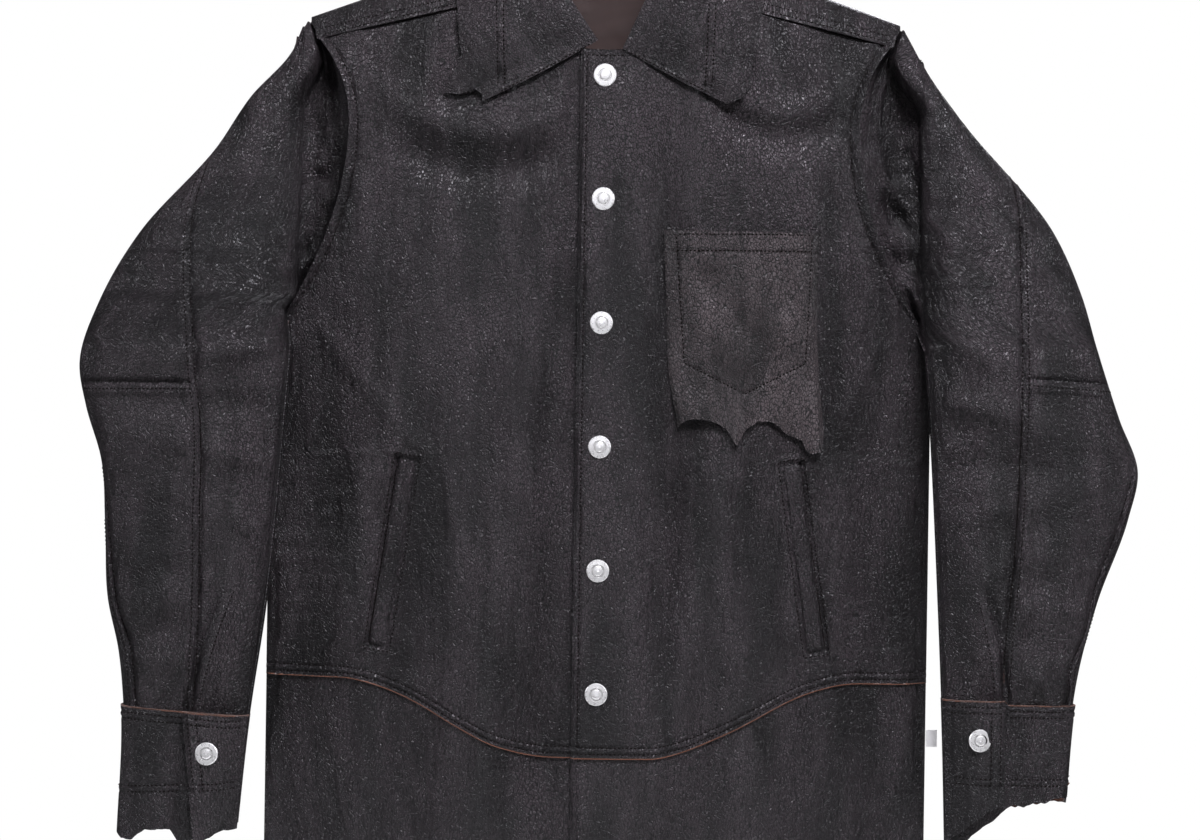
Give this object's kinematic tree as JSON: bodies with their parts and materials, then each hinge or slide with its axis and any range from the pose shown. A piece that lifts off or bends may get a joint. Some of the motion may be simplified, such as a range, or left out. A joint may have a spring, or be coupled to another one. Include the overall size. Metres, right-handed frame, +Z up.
{
  "type": "leather work jacket",
  "caption": "Leather work jacket with a snap front, shirt collar, chest pocket, slanted hand pockets and snap cuffs, hanging from its loop.",
  "frame": {"origin": "point inside the hanger loop at the back of the neck where a hook bears", "axes": "+Z up, front of the jacket faces -Y, the wearer's left is +X"},
  "size_m": [0.8692, 0.1396, 0.807],
  "materials": {
    "leather": "pebbled, semi-matt",
    "lining": "satin",
    "suede_edge": "raw suede",
    "tab_cloth": "woven",
    "snap_metal": "polished nickel"
  },
  "bodies": {
    "shell": {"back_panel": "leather", "back_skirt": "leather", "shoulder_yoke": "leather", "back_lining": "lining", "collar_stand": "leather", "collar_fall": "leather", "hanger_loop": "suede_edge", "side_tab": "tab_cloth", "left_front_side": "leather", "left_skirt_side": "leather", "left_sleeve_head": "leather", "right_front_side": "leather", "right_skirt_side": "leather", "right_sleeve_head": "leather", "chest_pocket_side": "leather"},
    "left_front": {"left_front_edge": "leather", "left_front_facing": "leather", "left_front_lining": "lining", "left_skirt_edge": "leather", "left_collar_point": "leather", "left_welt": "leather", "left_pocket_bag": "lining", "chest_pocket": "leather", "front_snap_caps": "snap_metal", "front_snap_sockets": "snap_metal"},
    "right_front": {"right_front_edge": "leather", "right_front_facing": "leather", "right_front_lining": "lining", "right_skirt_edge": "leather", "right_collar_point": "leather", "right_welt": "leather", "right_pocket_bag": "lining", "front_snap_studs": "snap_metal", "front_snap_posts": "snap_metal"},
    "left_upper_sleeve": {"left_upper_sleeve_front": "leather", "left_upper_sleeve_outer": "leather", "left_upper_sleeve_back": "leather", "left_upper_lining": "lining"},
    "left_lower_sleeve": {"left_lower_sleeve_front": "leather", "left_lower_sleeve_outer": "leather", "left_lower_sleeve_back": "leather", "left_lower_lining": "lining", "left_cuff": "leather", "left_cuff_stud": "snap_metal"},
    "left_cuff_flap": {"left_cuff_flap": "leather", "left_cuff_cap": "snap_metal"},
    "right_upper_sleeve": {"right_upper_sleeve_front": "leather", "right_upper_sleeve_outer": "leather", "right_upper_sleeve_back": "leather", "right_upper_lining": "lining"},
    "right_lower_sleeve": {"right_lower_sleeve_front": "leather", "right_lower_sleeve_outer": "leather", "right_lower_sleeve_back": "leather", "right_lower_lining": "lining", "right_cuff": "leather", "right_cuff_stud": "snap_metal"},
    "right_cuff_flap": {"right_cuff_flap": "leather", "right_cuff_cap": "snap_metal"}
  },
  "joints": [
    {"name": "front_left_opening", "type": "hinge", "parent": "shell", "child": "left_front", "pos_m": [0.08, -0.1, -0.045], "axis": [-0.2324, -0.042, 0.9717], "range_deg": [0, 55]},
    {"name": "front_right_opening", "type": "hinge", "parent": "shell", "child": "right_front", "pos_m": [-0.08, -0.1, -0.045], "axis": [-0.2324, 0.042, -0.9717], "range_deg": [0, 27.5]},
    {"name": "left_sleeve_swing", "type": "hinge", "parent": "shell", "child": "left_upper_sleeve", "pos_m": [0.27, -0.072, -0.16], "axis": [-1, 0, 0], "range_deg": [0, 38]},
    {"name": "left_elbow_bend", "type": "hinge", "parent": "left_upper_sleeve", "child": "left_lower_sleeve", "pos_m": [0.35, -0.1055, -0.425], "axis": [-1, 0, 0], "range_deg": [0, 60]},
    {"name": "left_cuff_opening", "type": "hinge", "parent": "left_lower_sleeve", "child": "left_cuff_flap", "pos_m": [0.296, -0.1007, -0.69], "axis": [0, 0, -1], "range_deg": [0, 110]},
    {"name": "right_sleeve_swing", "type": "hinge", "parent": "shell", "child": "right_upper_sleeve", "pos_m": [-0.27, -0.072, -0.16], "axis": [-1, 0, 0], "range_deg": [0, 38]},
    {"name": "right_elbow_bend", "type": "hinge", "parent": "right_upper_sleeve", "child": "right_lower_sleeve", "pos_m": [-0.35, -0.1055, -0.425], "axis": [-1, 0, 0], "range_deg": [0, 60]},
    {"name": "right_cuff_opening", "type": "hinge", "parent": "right_lower_sleeve", "child": "right_cuff_flap", "pos_m": [-0.296, -0.1007, -0.69], "axis": [0, 0, 1], "range_deg": [0, 110]}
  ],
  "couplings": [
    {"joint": "front_right_opening", "follows": "front_left_opening", "ratio": 0.5}
  ]
}
